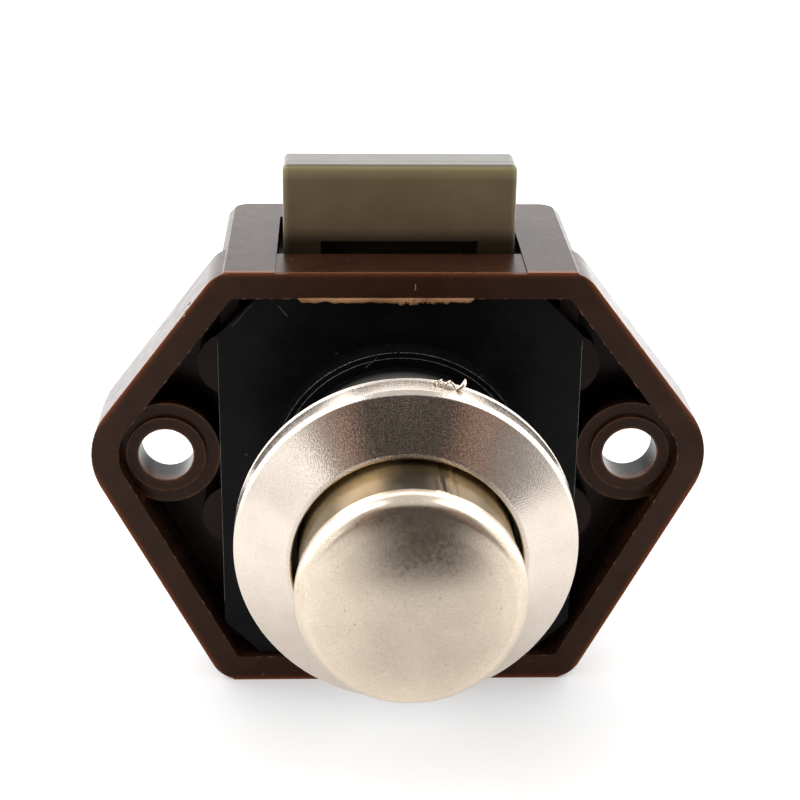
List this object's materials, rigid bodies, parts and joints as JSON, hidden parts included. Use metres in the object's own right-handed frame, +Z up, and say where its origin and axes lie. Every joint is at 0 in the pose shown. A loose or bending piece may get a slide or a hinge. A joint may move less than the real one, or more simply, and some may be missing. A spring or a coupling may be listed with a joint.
{
  "type": "push button cabinet lock",
  "caption": "Push button lock with a spring bolt for a furniture or caravan door: six-sided housing, hollow neck, clamping ring and push knob.",
  "frame": {"origin": "on the neck's axis in the plane of the flange's rim, the face that meets the door panel, midway between the two fixing screw holes", "axes": "+X to the right seen from the knob side, +Y from the door face into the cabinet, +Z up, the way the bolt points"},
  "size_m": [0.059, 0.0538, 0.0516],
  "materials": {
    "brown_plastic": "moulded brown plastic, satin",
    "black_plastic": "moulded near-black plastic",
    "satin_nickel": "pressed light metal with a satin nickel finish",
    "rolled_sleeve": "bright rolled sheet with a warm tone",
    "steel": "zinc plated steel",
    "olive_plastic": "moulded olive plastic, satin",
    "spring_steel": "drawn spring wire"
  },
  "bodies": {
    "case": {"housing": "brown_plastic", "insert_plate": "black_plastic", "rosette": "satin_nickel", "rosette_nut": "black_plastic", "follower_clip": "steel", "clip_screws": "steel", "bolt_spring_left": "spring_steel", "bolt_spring_right": "spring_steel", "return_spring": "spring_steel"},
    "push_knob": {"knob": "satin_nickel", "knob_sleeve": "rolled_sleeve", "knob_carrier": "black_plastic", "plunger": "black_plastic", "knob_screw": "steel", "knob_washer": "steel"},
    "follower": {"track_follower": "steel"},
    "spring_bolt": {"bolt": "olive_plastic"}
  },
  "joints": [
    {"name": "knob_push", "type": "slide", "parent": "case", "child": "push_knob", "axis": [0, 1, 0], "range_m": [0, 0.0085], "stiffness_N_per_m": 400, "springref_m": -0.006, "deforming": ["return_spring"]},
    {"name": "bolt_slide", "type": "slide", "parent": "case", "child": "spring_bolt", "axis": [0, 0, -1], "range_m": [0, 0.008], "stiffness_N_per_m": 300, "springref_m": -0.005, "deforming": ["bolt_spring_left", "bolt_spring_right"]},
    {"name": "follower_swing", "type": "hinge", "parent": "case", "child": "follower", "pos_m": [0, 0.0024, -0.00865], "axis": [0, 0, 1], "range_deg": [0, 10.32]}
  ],
  "couplings": [
    {"joint": "follower_swing", "follows": "knob_push", "rad_per_m": 21.18}
  ]
}
